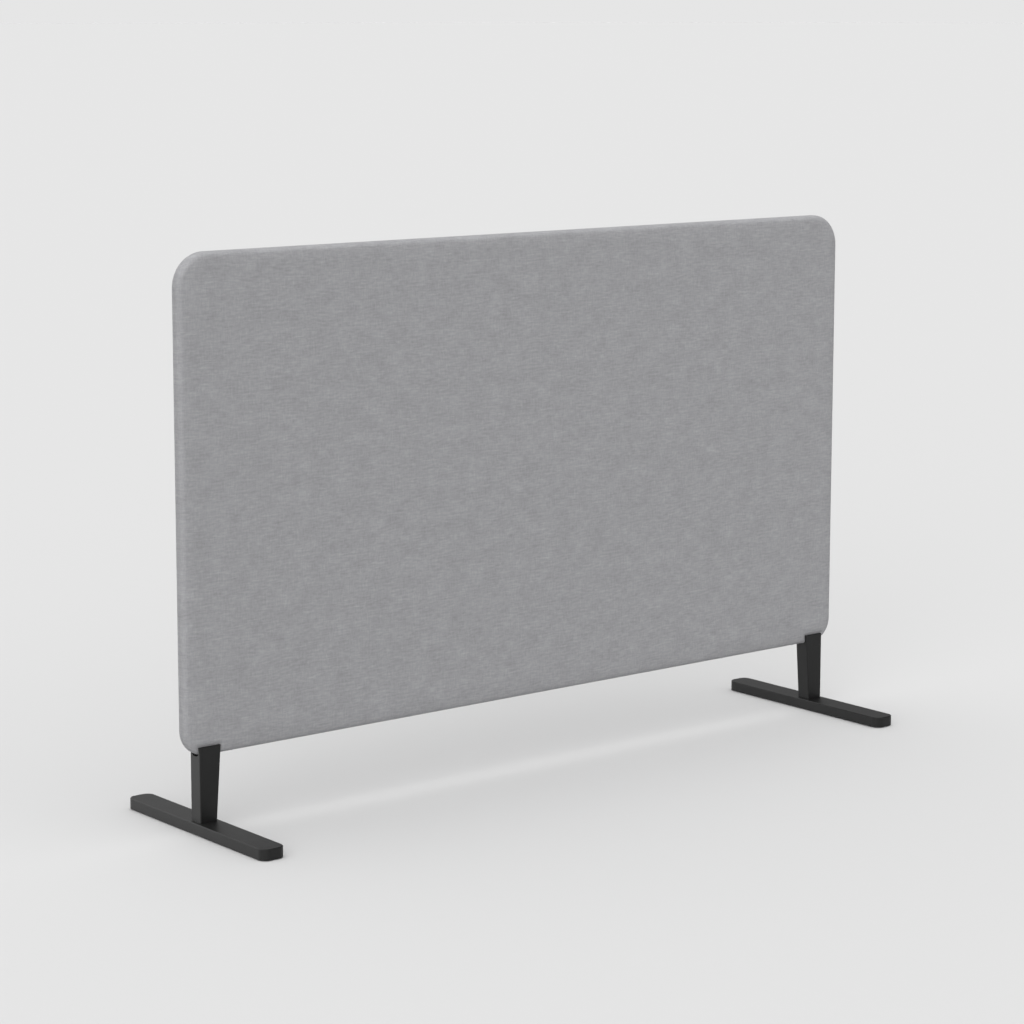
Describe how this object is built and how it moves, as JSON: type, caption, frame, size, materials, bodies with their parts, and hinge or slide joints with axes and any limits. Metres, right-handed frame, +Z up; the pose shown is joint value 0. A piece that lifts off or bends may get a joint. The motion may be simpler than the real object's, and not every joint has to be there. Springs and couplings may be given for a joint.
{
  "type": "acoustic divider screen",
  "caption": "Low free-standing acoustic screen: an upholstered panel with rounded corners, held at its lower edge by forked steel legs on flat foot bars.",
  "frame": {"origin": "on the floor, under the middle of the panel", "axes": "+X along the panel to the right leg, -Y out of the front face, +Z up"},
  "size_m": [1.6, 0.444, 1.035],
  "materials": {
    "cloth": "woven melange wool, mid grey",
    "wadding": "soft polyester wadding",
    "absorber": "pressed fibre slab",
    "timber": "planed softwood",
    "powder_coat": "fine-texture black powder coat",
    "zinc_steel": "bright zinc",
    "pad": "black moulded glide"
  },
  "bodies": {
    "root": {"front_cloth": "cloth", "rear_cloth": "cloth", "front_wadding": "wadding", "rear_wadding": "wadding", "left_absorber": "absorber", "right_absorber": "absorber", "top_rail": "timber", "bottom_rail": "timber", "left_stile": "timber", "centre_stile": "timber", "right_stile": "timber", "frame_tenons": "timber", "left_upright": "powder_coat", "right_upright": "powder_coat", "left_foot_bar": "powder_coat", "right_foot_bar": "powder_coat", "left_saddle_plate": "powder_coat", "right_saddle_plate": "powder_coat", "left_base_block": "powder_coat", "right_base_block": "powder_coat", "tie_bolts": "zinc_steel", "rail_inserts": "zinc_steel", "hem_staples": "zinc_steel", "left_glides": "pad", "right_glides": "pad"}
  },
  "joints": []
}
